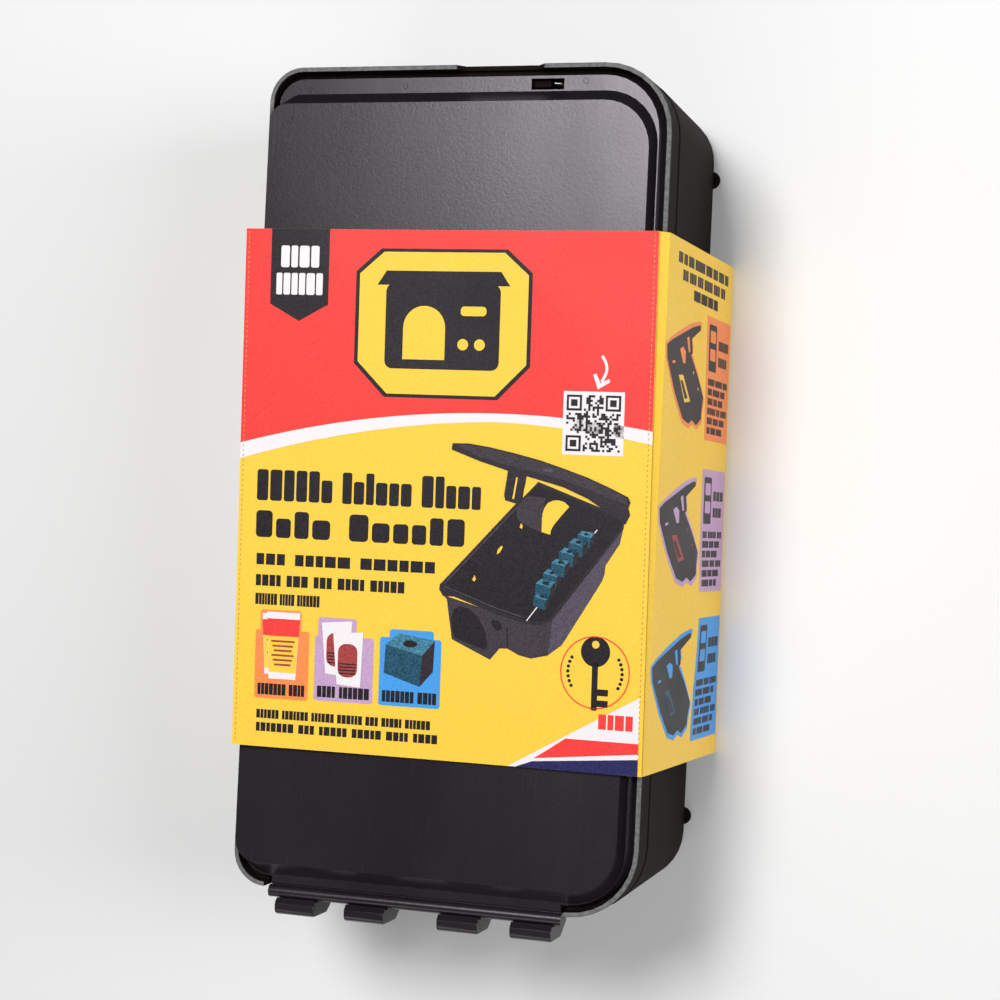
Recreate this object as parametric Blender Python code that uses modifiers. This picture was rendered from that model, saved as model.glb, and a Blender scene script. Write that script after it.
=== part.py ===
"""Rodent bait station: a hinged, lockable plastic box in a printed card sleeve.

It lies flat, as in use. X is its width, Y its length and Z is up, in metres. The lock is at
the -Y end and the lid's hinge at the +Y end. The bait chamber is on the -X side, and the
tunnel that the rodents walk through is on the +X side.
"""
import math

import bmesh
import bpy
from mathutils import Matrix

MM = 0.001

# Driving dimensions
LENGTH = 265 * MM
WIDTH = 134 * MM
RIM_Z = 86 * MM
CARD = 0.5 * MM
GAP = 0.3 * MM
WALL = 2.6 * MM

HALF_L = LENGTH / 2
HALF_W = WIDTH / 2

# Tray
BASE_Z = 3.0 * MM
FLOOR_Z = BASE_Z + 2.2 * MM
SIDE_TAPER = 3.4 * MM
BAIT_RADIUS = 22 * MM
BAIT_RADIUS_TAPER = 4 * MM
TUNNEL_RADIUS = 11 * MM
CURB = 1.4 * MM
RIM_BAND = 14 * MM
BAND_STEP = 0.3 * MM
LEDGE_Z = RIM_Z - 4.9 * MM

# Feet
FOOT_X = HALF_W - 4.4 * MM
FOOT_Y = 109.5 * MM

# Entry arches
ARCH_X = 30 * MM
ARCH_RADIUS = 28 * MM
ARCH_BOTTOM = 11 * MM
ARCH_CENTRE_Z = 44 * MM

# Hinge
HINGE_Y = HALF_L + 1.5 * MM
HINGE_Z = RIM_Z - 3 * MM
BAR_RADIUS = 2.0 * MM
BAR_X = (-43 * MM, 55 * MM)
HOOK_WIDTH = 13.4 * MM
HOOK_X = (45.2 * MM, 21.4 * MM, -9.8 * MM, -33.8 * MM)
HOOK_BORE = BAR_RADIUS + 0.4 * MM
HOOK_REACH = 7 * MM

# Lid
FLANGE_TOP = RIM_Z - 2.5 * MM
FLANGE_THICK = 2.0 * MM
FLANGE_FALL = 1.4 * MM
PLATEAU_Z = RIM_Z + 2.0 * MM
LID_WALL = 2.2 * MM
LID_BAIT_X = -HALF_W + CURB + 0.8 * MM
LID_TUNNEL_X = HALF_W - CURB - 0.5 * MM
PANEL_LAP_X = HALF_W - 1.0 * MM
LID_FREE_Y = -HALF_L + CURB + 1.5 * MM
LID_HINGE_Y = HALF_L - 2.8 * MM
LID_TUNNEL_RADIUS = 9.1 * MM
SLOT_X = (-31.4 * MM, -20.7 * MM)
SLOT_Y = (-128.2 * MM, -124.7 * MM)

# Lock tongue
TONGUE_X = (-26.5 * MM, -20.9 * MM)
TONGUE_Y = -127.0 * MM

# Bait rod and its cradles
ROD_X = -32 * MM
ROD_Z = 27 * MM
ROD_RADIUS = 1.6 * MM
CRADLE_Y = 86 * MM

# Card sleeve
SLEEVE_FREE_Y = -79.5 * MM
SLEEVE_HINGE_Y = 87 * MM
SLEEVE_ROWS = 14
SLEEVE_SAG = 1.3 * MM
SLEEVE_REACH = 72.4 * MM
FOLD_LAP = 1.2 * MM

ARC_STEPS = 8


def clear_scene():
    for obj in list(bpy.data.objects):
        bpy.data.objects.remove(obj, do_unlink=True)


def new_collection(name):
    collection = bpy.data.collections.new(name)
    bpy.context.scene.collection.children.link(collection)
    return collection


def new_material(name, colour, roughness, metallic=0.0):
    material = bpy.data.materials.new(name)
    material.use_nodes = True
    shader = material.node_tree.nodes["Principled BSDF"]
    shader.inputs["Base Color"].default_value = (*colour, 1.0)
    shader.inputs["Roughness"].default_value = roughness
    shader.inputs["Metallic"].default_value = metallic
    material.diffuse_color = (*colour, 1.0)
    return material


def add_object(name, bm, material=None):
    """Turn a bmesh into a named object, a part if it has a material and a cutter if not."""
    bmesh.ops.recalc_face_normals(bm, faces=bm.faces)
    mesh = bpy.data.meshes.new(name)
    bm.to_mesh(mesh)
    bm.free()
    obj = bpy.data.objects.new(name, mesh)
    if material is None:
        cutters.objects.link(obj)
        obj.hide_render = True
        obj.display_type = "WIRE"
    else:
        parts.objects.link(obj)
        mesh.materials.append(material)
    return obj


def box(name, x, y, z, material=None):
    """A block between the pairs x, y and z."""
    bm = bmesh.new()
    centre = Matrix.Translation([(pair[0] + pair[1]) / 2 for pair in (x, y, z)])
    size = Matrix.Diagonal([pair[1] - pair[0] for pair in (x, y, z)] + [1.0])
    bmesh.ops.create_cube(bm, size=1.0, matrix=centre @ size)
    return add_object(name, bm, material)


def cylinder(name, radius, start, length, axis, material=None, segments=32):
    """A cylinder from the point start along the axis X, Y or Z."""
    turn = {
        "X": Matrix.Rotation(math.pi / 2, 4, "Y"),
        "Y": Matrix.Rotation(-math.pi / 2, 4, "X"),
        "Z": Matrix.Identity(4),
    }[axis]
    matrix = Matrix.Translation(start) @ turn @ Matrix.Translation((0, 0, length / 2))
    bm = bmesh.new()
    bmesh.ops.create_cone(bm, cap_ends=True, segments=segments, radius1=radius, radius2=radius,
                          depth=length, matrix=matrix)
    return add_object(name, bm, material)


def prism(name, outline, to_world, material=None):
    """Extrude a flat outline; to_world(u, v, end) places its points at end 0 and end 1."""
    bm = bmesh.new()
    rings = [[bm.verts.new(to_world(u, v, end)) for u, v in outline] for end in (0, 1)]
    join_rings(bm, rings)
    return add_object(name, bm, material)


def join_rings(bm, rings):
    """Bridge rings of vertices in turn and cap the first and the last."""
    count = len(rings[0])
    for lower, upper in zip(rings, rings[1:]):
        for i in range(count):
            j = (i + 1) % count
            bm.faces.new((lower[i], lower[j], upper[j], upper[i]))
    bm.faces.new(rings[0])
    bm.faces.new(rings[-1])


def loft(name, sections, material=None):
    """A solid through level sections, each a height and an outline of as many points."""
    bm = bmesh.new()
    rings = [[bm.verts.new((x, y, z)) for x, y in outline] for z, outline in sections]
    join_rings(bm, rings)
    return add_object(name, bm, material)


def arc(centre, radius, start, end, steps=ARC_STEPS):
    """Points on a circle from the angle start to the angle end, in degrees."""
    angles = [math.radians(start + (end - start) * i / steps) for i in range(steps + 1)]
    return [(centre[0] + radius * math.cos(a), centre[1] + radius * math.sin(a)) for a in angles]


def rounded_outline(x, y, bait_radius, tunnel_radius, lock_radius=None):
    """A rectangle with one corner radius on the bait side and another on the tunnel side.

    The corner between the tunnel side and the lock end can have a radius of its own.
    """
    lock_radius = tunnel_radius if lock_radius is None else lock_radius
    corners = (
        (x[1] - tunnel_radius, y[1] - tunnel_radius, tunnel_radius, 0),
        (x[0] + bait_radius, y[1] - bait_radius, bait_radius, 90),
        (x[0] + bait_radius, y[0] + bait_radius, bait_radius, 180),
        (x[1] - lock_radius, y[0] + lock_radius, lock_radius, 270),
    )
    points = []
    for cx, cy, radius, start in corners:
        points += arc((cx, cy), radius, start, start + 90)
    return points


def cut(obj, cutter, operation="DIFFERENCE"):
    modifier = obj.modifiers.new(cutter.name, "BOOLEAN")
    modifier.operation = operation
    modifier.solver = "EXACT"
    modifier.object = cutter


def round_edges(obj, width, segments=2, angle=40):
    modifier = obj.modifiers.new("Rounded edges", "BEVEL")
    modifier.width = width
    modifier.segments = segments
    modifier.limit_method = "ANGLE"
    modifier.angle_limit = math.radians(angle)


def put_on_axis(objects, name, location):
    """Parent a body's objects to an empty on its joint's axis, without moving them."""
    axis = bpy.data.objects.new(name, None)
    axis.location = location
    axis.empty_display_size = 0.01
    parts.objects.link(axis)
    for obj in objects:
        obj.parent = axis
        obj.matrix_parent_inverse = Matrix.Translation([-value for value in location])


def tray_outline(z, inset):
    """The tray's outline at a height, inset from its outer face.

    Towards the base the long sides taper and the corners of the bait side get tighter.
    """
    depth = (RIM_Z - z) / (RIM_Z - BASE_Z)
    half_w = HALF_W - SIDE_TAPER * depth - inset
    half_l = HALF_L - inset
    return rounded_outline((-half_w, half_w), (-half_l, half_l),
                           BAIT_RADIUS - BAIT_RADIUS_TAPER * depth - inset,
                           TUNNEL_RADIUS - inset)


def arch_outline():
    """An entry: a flat sill, straight sides and a round top, as x and z."""
    top = arc((ARCH_X, ARCH_CENTRE_Z), ARCH_RADIUS, 0, 180, 16)
    return [(ARCH_X + ARCH_RADIUS, ARCH_BOTTOM)] + top + [(ARCH_X - ARCH_RADIUS, ARCH_BOTTOM)]


def make_tray(plastic):
    band_z = RIM_Z - RIM_BAND
    tray = loft("tray", [(BASE_Z, tray_outline(BASE_Z, 0.5 * MM)),
                         (BASE_Z + 0.5 * MM, tray_outline(BASE_Z, 0)),
                         (band_z - BAND_STEP, tray_outline(band_z, -BAND_STEP)),
                         (band_z, tray_outline(band_z, 0)),
                         (RIM_Z - 0.3 * MM, tray_outline(RIM_Z, 0)),
                         (RIM_Z, tray_outline(RIM_Z, 0.3 * MM))], plastic)
    hollow = loft("tray_hollow", [(z, tray_outline(z, WALL)) for z in (FLOOR_Z, RIM_Z + GAP)])
    recess = loft("lid_recess", [(z, tray_outline(z, CURB)) for z in (LEDGE_Z, RIM_Z + GAP)])
    cut(tray, hollow)
    cut(tray, recess)

    arches = prism("entry_arches", arch_outline(),
                   lambda u, v, end: (u, (2 * end - 1) * LENGTH, v))
    cut(tray, arches)

    # The curb is cut away for the hinge's web and lowered where a finger lifts the lid.
    cut(tray, box("hinge_gap", (BAR_X[0] - 1.2 * MM, BAR_X[1] + 1.2 * MM),
                  (HALF_L - 6 * MM, HALF_L + 6 * MM), (HINGE_Z - 3.4 * MM, RIM_Z + MM)))
    notch = [(-26.5 * MM, RIM_Z + MM), (-22.8 * MM, RIM_Z - 3 * MM),
             (1.2 * MM, RIM_Z - 3 * MM), (4.9 * MM, RIM_Z + MM)]
    cut(tray, prism("finger_notch", notch,
                    lambda u, v, end: (u, -HALF_L - 3 * MM + end * 6 * MM, v)))

    window = rounded_outline((-27 * MM, -16 * MM), (RIM_Z - 32 * MM, RIM_Z - 17 * MM),
                             4 * MM, 4 * MM)
    cut(tray, prism("lock_window", window,
                    lambda u, v, end: (u, -HALF_L - 5 * MM + end * 10 * MM, v)))

    for index, y in enumerate((-78 * MM, 78 * MM)):
        cut(tray, cylinder(f"anchor_hole_{index}", 1.9 * MM, (HALF_W - 10 * MM, y, 34 * MM),
                           20 * MM, "X", segments=16))
    slot = rounded_outline((-6 * MM, 6 * MM), (32 * MM, 35.8 * MM), 1.8 * MM, 1.8 * MM)
    cut(tray, prism("anchor_slot", slot, lambda u, v, end: (HALF_W - (10 - 20 * end) * MM, u, v)))
    return tray


def make_entry_lips(plastic):
    """A low ramp up to each entry arch, outside the end wall."""
    lips = []
    for name, side in (("entry_lip_lock_end", -1), ("entry_lip_hinge_end", 1)):
        wall = side * (HALF_L + GAP)
        edge = side * (HINGE_Y + HOOK_REACH)
        outline = [(wall, BASE_Z), (edge, BASE_Z), (edge, BASE_Z + 1.2 * MM),
                   (side * (HALF_L + 3 * MM), BASE_Z + 5 * MM), (wall, BASE_Z + 5 * MM)]
        lip = prism(name, outline, lambda u, v, end: ((4 + 52 * end) * MM, u, v), plastic)
        round_edges(lip, 0.5 * MM, angle=25)
        lips.append(lip)
    return lips


def make_partitions(plastic):
    """A short upright wall beside each entry keeps rain and light off the bait."""
    walls = []
    for name, side in (("partition_lock_end", -1), ("partition_hinge_end", 1)):
        near = side * (HALF_L - WALL - GAP)
        far = side * 74 * MM
        outline = [(near, FLOOR_Z + GAP), (far, FLOOR_Z + GAP), (far, 60 * MM),
                   (far + side * 14 * MM, 78 * MM), (near, 78 * MM)]
        wall = prism(name, outline, lambda u, v, end: ((2 * end - 1) * 1.1 * MM, u, v), plastic)
        round_edges(wall, 0.4 * MM)
        walls.append(wall)
    return walls


def make_cradles(plastic):
    """Two plates across the bait chamber, each with an open notch that the rod lies in."""
    notch = ROD_RADIUS + 0.3 * MM
    top = 34 * MM
    cradles = []
    for name, side in (("rod_cradle_lock_end", -1), ("rod_cradle_hinge_end", 1)):
        outline = [(-60.5 * MM, FLOOR_Z + GAP), (-4 * MM, FLOOR_Z + GAP), (-4 * MM, 26 * MM),
                   (-12 * MM, top), (ROD_X + notch, top)]
        outline += arc((ROD_X, ROD_Z), notch, 0, -180)
        outline += [(ROD_X - notch, top), (-52 * MM, top), (-60.5 * MM, 26 * MM)]
        y = side * CRADLE_Y
        cradle = prism(name, outline, lambda u, v, end: (u, y + (2 * end - 1) * MM, v), plastic)
        cradles.append(cradle)
    return cradles


def make_rod(steel):
    """A steel rod that bait blocks are threaded on, with a flattened head at each end."""
    rod = cylinder("bait_rod", ROD_RADIUS, (ROD_X, -CRADLE_Y - 9 * MM, ROD_Z),
                   2 * CRADLE_Y + 18 * MM, "Y", steel, segments=24)
    for index, side in enumerate((-1, 1)):
        start = min(side * (CRADLE_Y + 3 * MM), side * (CRADLE_Y + 4.5 * MM))
        collar = cylinder(f"rod_collar_{index}", 2.6 * MM, (ROD_X, start, ROD_Z), 1.5 * MM, "Y",
                          segments=24)
        cut(rod, collar, "UNION")
    return rod


def make_floor_pins(plastic):
    pins = []
    for name, y in (("floor_pin_lock_end", -58 * MM), ("floor_pin_hinge_end", 58 * MM)):
        pin = cylinder(name, 3 * MM, (-50 * MM, y, FLOOR_Z + GAP), 11 * MM, "Z", plastic, 20)
        round_edges(pin, 0.8 * MM)
        pins.append(pin)
    return pins


def make_feet(plastic):
    feet = []
    for index, (side_x, side_y) in enumerate(((-1, -1), (1, -1), (-1, 1), (1, 1)), start=1):
        foot = cylinder(f"foot_{index}", 3 * MM, (side_x * FOOT_X, side_y * FOOT_Y, CARD + GAP),
                        BASE_Z - CARD - 2 * GAP, "Z", plastic, segments=20)
        round_edges(foot, 0.5 * MM)
        feet.append(foot)
    return feet


def make_hooks(plastic):
    """Four open hooks on the end wall, in which the lid's hinge bar turns."""
    outline = [(-0.9, -15), (3, -15), (7, -9), (7, 1.8), (6.4, 3), (5.2, 3.5), (3.4, 3.5)]
    outline = [(y * MM, z * MM) for y, z in outline] + arc((0, 0), HOOK_BORE, 45, -112, 14)
    hooks = []
    for index, x in enumerate(HOOK_X, start=1):
        hook = prism(f"hinge_hook_{index}", outline,
                     lambda u, v, end: (x + (end - 0.5) * HOOK_WIDTH, HINGE_Y + u, HINGE_Z + v),
                     plastic)
        hooks.append(hook)
    return hooks


def lid_outline(inset):
    return rounded_outline((LID_BAIT_X + inset, LID_TUNNEL_X - inset),
                           (LID_FREE_Y + inset, LID_HINGE_Y - inset),
                           BAIT_RADIUS - CURB - 0.8 * MM - inset, LID_TUNNEL_RADIUS - inset)


def flange_outline():
    """The flange's flat top, which is narrow on the bait side, where the flange falls away."""
    return rounded_outline((LID_BAIT_X + 2.3 * MM, LID_TUNNEL_X - 0.5 * MM),
                           (LID_FREE_Y + 0.5 * MM, LID_HINGE_Y - 0.5 * MM),
                           18 * MM, LID_TUNNEL_RADIUS - 0.5 * MM)


def plateau_outline(bait_side, tunnel_side, free_end, hinge_end, shrink):
    """The raised panel's outline, set in from the lid's edges and from its lap over the curb."""
    return rounded_outline((LID_BAIT_X + bait_side, PANEL_LAP_X - tunnel_side),
                           (LID_FREE_Y + free_end, LID_HINGE_Y - hinge_end),
                           17 * MM - shrink, 9 * MM - shrink, 7.6 * MM - shrink)


def make_lid(plastic):
    flange_bottom = FLANGE_TOP - FLANGE_THICK
    # On the tunnel side the panel's brow laps over the curb, clear above its top.
    foot = plateau_outline(2.6 * MM, 1.6 * MM, 5.4 * MM, 1.0 * MM, 0)
    shoulder = plateau_outline(3.7 * MM, 0.8 * MM, 7.8 * MM, 3.6 * MM, 1.3 * MM)
    brow = plateau_outline(4.3 * MM, 0, 9.2 * MM, 5.1 * MM, 2 * MM)
    lid = loft("lid", [(flange_bottom, lid_outline(0.3 * MM)),
                       (FLANGE_TOP - FLANGE_FALL, lid_outline(0)),
                       (FLANGE_TOP, flange_outline()),
                       (FLANGE_TOP, foot),
                       (RIM_Z + 0.4 * MM, shoulder),
                       (PLATEAU_Z, brow)], plastic)
    inner_foot = plateau_outline(4.6 * MM, 3.8 * MM, 7.4 * MM, 3.4 * MM, MM)
    inner_brow = plateau_outline(6.3 * MM, 2.6 * MM, 11.2 * MM, 7.1 * MM, 3 * MM)
    cut(lid, loft("lid_hollow", [(flange_bottom - MM, inner_foot), (FLANGE_TOP - MM, inner_foot),
                                 (PLATEAU_Z - LID_WALL, inner_brow)]))
    cut(lid, box("key_slot", SLOT_X, SLOT_Y, (flange_bottom - MM, FLANGE_TOP + MM)))

    bar = cylinder("hinge_bar", BAR_RADIUS, (BAR_X[0], HINGE_Y, HINGE_Z), BAR_X[1] - BAR_X[0], "X",
                   segments=24)
    cut(lid, bar, "UNION")
    web_x = (BAR_X[0] + 0.5 * MM, BAR_X[1] - 0.5 * MM)
    web_z = flange_bottom + 0.2 * MM
    cut(lid, box("hinge_web", web_x, (LID_HINGE_Y - 2 * MM, HINGE_Y - 2.6 * MM),
                 (web_z, FLANGE_TOP - 0.1 * MM)), "UNION")
    cut(lid, box("hinge_groove", web_x, (LID_HINGE_Y - MM, HINGE_Y),
                 (web_z + 0.1 * MM, FLANGE_TOP - MM)), "UNION")
    return lid


def make_comb(plastic):
    """A comb that hangs from the lid across the tunnel, so that bait can't be shaken out."""
    top = PLATEAU_Z - LID_WALL - GAP
    pitch = 9 * MM
    outline = [(57 * MM, 68 * MM), (57 * MM, top), (6 * MM, top), (6 * MM, 68 * MM)]
    for tooth in range(6):
        left = 6 * MM + tooth * pitch
        outline += [(left, 42 * MM), (left + 1.5 * MM, 38 * MM), (left + 4.5 * MM, 38 * MM),
                    (left + 6 * MM, 42 * MM)]
        if tooth < 5:
            outline += [(left + 6 * MM, 68 * MM), (left + pitch, 68 * MM)]
    return prism("tunnel_comb", outline, lambda u, v, end: (u, (57 + 2 * end) * MM, v), plastic)


def make_tongue(plastic):
    """The sprung tongue under the key slot, with a barb that faces the lock window."""
    top = FLANGE_TOP - FLANGE_THICK - GAP
    y = TONGUE_Y
    outline = [(y - 1.1 * MM, top), (y + 1.1 * MM, top), (y + 0.9 * MM, top - 17 * MM),
               (y - 0.6 * MM, top - 18 * MM), (y - 1.9 * MM, top - 13.5 * MM),
               (y - 1.9 * MM, top - 12 * MM), (y - 0.9 * MM, top - 12 * MM)]
    return prism("lock_tongue", outline,
                 lambda u, v, end: (TONGUE_X[0] + end * (TONGUE_X[1] - TONGUE_X[0]), u, v), plastic)


def make_key(plastic):
    """The two-pronged key, lying on the tray's floor."""
    low = FLOOR_Z + GAP
    high = low + 3 * MM
    x = -17 * MM
    outline = arc((x, 38 * MM), 11 * MM, -55, 235, 20)
    outline += [(x - 4.6 * MM, 22 * MM), (x - 4.6 * MM, -14 * MM), (x - 1.6 * MM, -14 * MM),
                (x - 1.6 * MM, 2 * MM), (x + 1.6 * MM, 2 * MM), (x + 1.6 * MM, -14 * MM),
                (x + 4.6 * MM, -14 * MM), (x + 4.6 * MM, 22 * MM)]
    key = loft("key", [(low, outline), (high, outline)], plastic)
    cut(key, cylinder("key_hole", 1.8 * MM, (x, 43 * MM, low - MM), 5 * MM, "Z", segments=16))
    return key


def between(low, high, share):
    return low + (high - low) * share


def sleeve_profile(share):
    """The sleeve's cross-section at a share of its length, as x and z on the card's inner face.

    It is a loose loop, pushed a little askew: the front panel leans to the tunnel side and the
    lower fold on the bait side stands out. Returned are the front and the rest of the loop.
    """
    bait_fold = (between(-64.4, -66.6, share) * MM, RIM_Z + 3.8 * MM)
    tunnel_fold = (between(69.6, 66.2, share) * MM, RIM_Z + 4.6 * MM)
    front = []
    for step in range(11):
        across = step / 10
        sag = SLEEVE_SAG * math.sin(math.pi * across)
        front.append((between(bait_fold[0] - FOLD_LAP, tunnel_fold[0] + FOLD_LAP, across),
                      between(bait_fold[1], tunnel_fold[1], across) - sag))

    wave = 0.9 * MM * math.sin(math.pi * share) + 1.1 * MM * math.exp(-((share - 0.73) / 0.1) ** 2)
    foot_x = between(1.4 * MM, 0, share) - SLEEVE_REACH
    rim_x = -HALF_W - 0.7 * MM
    wrap = [(bait_fold[0] - 0.75 * MM, bait_fold[1] - 0.75 * MM), (rim_x, RIM_Z + 0.6 * MM),
            (rim_x - 0.25 * MM, RIM_Z - 3 * MM)]
    for step in range(1, 5):
        down = step / 4
        bulge = wave * math.sin(math.pi * down) ** 2
        wrap.append((between(rim_x - 0.25 * MM, foot_x, down) - bulge,
                     between(RIM_Z - 3 * MM, CARD + 1.2 * MM, down)))
    wrap += [(foot_x + 0.5 * MM, CARD + 0.3 * MM), (foot_x + 1.4 * MM, CARD)]
    wrap += [(67.2 * MM, CARD), (68.2 * MM, CARD + 1.0 * MM)]
    side_x = max(tunnel_fold[0] + 0.5 * MM, HALF_W + 0.8 * MM)
    belly = SLEEVE_REACH - 0.8 * MM * (2 * share - 1) ** 2
    wrap += [(between(68.2 * MM, belly, 0.7), 0.25 * RIM_Z), (belly, 0.5 * RIM_Z),
             (between(side_x, belly, 0.7), 0.75 * RIM_Z), (side_x, RIM_Z - 2 * MM),
             (side_x, RIM_Z + 1.5 * MM), (tunnel_fold[0] + 0.75 * MM, tunnel_fold[1] - 0.75 * MM)]
    return front, wrap


def card_panel(name, rows, card):
    """A sheet of card through rows of points, thickened outwards."""
    bm = bmesh.new()
    grid = [[bm.verts.new(point) for point in row] for row in rows]
    for near, far in zip(grid, grid[1:]):
        for i in range(len(near) - 1):
            bm.faces.new((near[i], near[i + 1], far[i + 1], far[i]))
    obj = add_object(name, bm, card)
    solidify = obj.modifiers.new("Card thickness", "SOLIDIFY")
    solidify.thickness = CARD
    solidify.offset = 1.0
    solidify.use_even_offset = True
    return obj


def make_sleeve(card):
    """The printed card sleeve, in two along its perforated folds."""
    front_rows = []
    wrap_rows = []
    for row in range(SLEEVE_ROWS + 1):
        share = row / SLEEVE_ROWS
        y = between(SLEEVE_FREE_Y, SLEEVE_HINGE_Y, share)
        front, wrap = sleeve_profile(share)
        front_rows.append([(x, y, z) for x, z in front])
        wrap_rows.append([(x, y, z) for x, z in wrap])
    return card_panel("sleeve_front", front_rows, card), card_panel("sleeve_wrap", wrap_rows, card)


clear_scene()
parts = new_collection("bait_station")
cutters = new_collection("bait_station_cutters")

black_plastic = new_material("black_plastic", (0.03, 0.028, 0.03), 0.45)
zinc_steel = new_material("zinc_steel", (0.62, 0.62, 0.6), 0.3, 1.0)
key_plastic = new_material("key_plastic", (0.04, 0.04, 0.045), 0.4)
printed_card = new_material("printed_card", (0.95, 0.72, 0.05), 0.5)

make_tray(black_plastic)
make_entry_lips(black_plastic)
make_partitions(black_plastic)
make_cradles(black_plastic)
make_floor_pins(black_plastic)
make_feet(black_plastic)
make_hooks(black_plastic)
make_key(key_plastic)

station_lid = make_lid(black_plastic)
comb = make_comb(black_plastic)
put_on_axis([station_lid, comb], "lid_hinge_axis", (0, HINGE_Y, HINGE_Z))
put_on_axis([make_tongue(black_plastic)], "lock_tongue_axis",
            (sum(TONGUE_X) / 2, TONGUE_Y, FLANGE_TOP - FLANGE_THICK - GAP))
put_on_axis([make_rod(zinc_steel)], "bait_rod_axis", (ROD_X, 0, ROD_Z))
for panel in make_sleeve(printed_card):
    put_on_axis([panel], panel.name + "_slide", (0, SLEEVE_FREE_Y, RIM_Z))
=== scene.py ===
"""The looks of the bait station: grained black plastic in a generic printed card sleeve."""

import math
import random

import bmesh
import bpy
from mathutils import Matrix, Vector
from mathutils.bvhtree import BVHTree


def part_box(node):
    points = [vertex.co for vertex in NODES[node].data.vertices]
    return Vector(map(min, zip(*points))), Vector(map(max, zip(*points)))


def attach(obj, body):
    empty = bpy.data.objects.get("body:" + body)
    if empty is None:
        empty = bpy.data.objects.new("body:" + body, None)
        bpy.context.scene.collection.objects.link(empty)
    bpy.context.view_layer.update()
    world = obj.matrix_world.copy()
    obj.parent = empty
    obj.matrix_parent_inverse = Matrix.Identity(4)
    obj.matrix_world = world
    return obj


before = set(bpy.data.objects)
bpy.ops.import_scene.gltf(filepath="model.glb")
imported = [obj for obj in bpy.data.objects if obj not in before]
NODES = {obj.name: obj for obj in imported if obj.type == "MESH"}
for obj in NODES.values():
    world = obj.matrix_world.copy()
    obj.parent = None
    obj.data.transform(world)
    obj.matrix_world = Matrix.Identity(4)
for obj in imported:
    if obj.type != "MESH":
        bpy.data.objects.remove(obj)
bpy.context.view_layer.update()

MM = 0.001
RIM_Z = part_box("tray")[1].z

# Colours, linear
INK_RED = (0.88, 0.05, 0.044)
INK_YELLOW = (0.93, 0.59, 0.06)
INK_WHITE = (0.84, 0.79, 0.81)
INK_BLACK = (0.013, 0.01, 0.013)
INK_ORANGE = (0.93, 0.26, 0.075)
INK_PURPLE = (0.53, 0.34, 0.55)
INK_BLUE = (0.06, 0.32, 0.75)
INK_NAVY = (0.02, 0.018, 0.1)
INK_TEAL = (0.012, 0.07, 0.12)
INK_TEAL_LIGHT = (0.05, 0.2, 0.3)
INK_BRICK = (0.36, 0.05, 0.05)
INK_MAUVE = (0.082, 0.066, 0.094)
INK_SLATE = (0.045, 0.035, 0.046)
INK_SMOKE = (0.025, 0.019, 0.025)
INK_TAN = (0.5, 0.3, 0.09)
CARD_BACK = (0.52, 0.49, 0.45)
CARD_FIBRE = (0.66, 0.63, 0.58)
# Painted highlight: the lighter grey painted on the tray's top edge, where the light catches it
RIM_HIGHLIGHT_PAINT = (0.2, 0.2, 0.205)
PLASTIC_SHEEN = (1.0, 0.93, 1.0, 1.0)

# Card, in millimetres: the panels' sizes, and how the print lies on them
PANEL_WIDTH = 134.0
FOLD_LAP = 1.2
SIDE_WIDTH = 88.0
SLEEVE_LENGTH = (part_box("sleeve_front")[1].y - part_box("sleeve_front")[0].y) / MM
PRINT_LIFT = 0.05
LAYER_STEP = 0.04
PRINT_GRID = 3.5
PRINT_THICKNESS = 0.03
EDGE_INSET = 0.05
END_INSET = 0.02

# How far out the rays start that find the card, in metres
RAY_START = 0.2

# Placeholder text: the gaps, where a letter is 0.36 to 0.62 wide before its line is scaled
LETTER_GAP = 0.1
WORD_GAP = 0.42

# The printed code: how many cells it and its corner squares have along a side
CODE_CELLS = 25
FINDER_CELLS = 7

# Print layout, in millimetres: across from the left fold, and down from the top edge
CURVE_TOP = 57.3
CURVE_MIDDLE = 85
CODE_LEFT, CODE_TOP, CODE_SIZE = 106.5, 49.6, 19.6
CODE_MARGIN = 1.1
STATION_LEFT, STATION_TOP = 66.0, 66.0
KEY_ACROSS, KEY_DOWN = 119.4, 135.8
SIDE_BOX_LEFT = 5.0
CUT_LENGTH, CUT_WIDTH, CUT_PITCH = 0.7, 0.28, 1.6

# Camera: its lens in millimetres, two of its axes, and its place in metres
CAMERA_LENS = 77.18
CAMERA_RIGHT = (-0.9553, -0.0468, -0.2920)
CAMERA_BACK = (-0.2927, 0.0089, 0.9562)
CAMERA_PLACE = (-0.2140, 0.0106, RIM_Z + 0.6420)


# --- Materials -------------------------------------------------------------------------------

def new_material(name, colour, roughness, metallic=0.0):
    material = bpy.data.materials.new(name)
    material.use_nodes = True
    shader = material.node_tree.nodes["Principled BSDF"]
    shader.inputs["Base Color"].default_value = (*colour, 1.0)
    shader.inputs["Roughness"].default_value = roughness
    shader.inputs["Metallic"].default_value = metallic
    return material, material.node_tree, shader


def add_node(tree, kind, **values):
    """Add a shader node and set its inputs and settings by name."""
    node = tree.nodes.new(kind)
    for name, value in values.items():
        label = name.replace("_", " ").title()
        if label in node.inputs:
            node.inputs[label].default_value = value
        else:
            setattr(node, name, value)
    return node


def place(tree, stretch=(1.0, 1.0, 1.0)):
    """Object coordinates, in metres, stretched along an axis where the pattern runs along it."""
    coords = add_node(tree, "ShaderNodeTexCoord")
    mapping = add_node(tree, "ShaderNodeMapping")
    mapping.inputs["Scale"].default_value = stretch
    tree.links.new(coords.outputs["Object"], mapping.inputs["Vector"])
    return mapping.outputs["Vector"]


def noise(tree, scale, detail=3.0, stretch=(1.0, 1.0, 1.0)):
    node = add_node(tree, "ShaderNodeTexNoise", scale=scale, detail=detail)
    tree.links.new(place(tree, stretch), node.inputs["Vector"])
    return node.outputs["Fac"]


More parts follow.
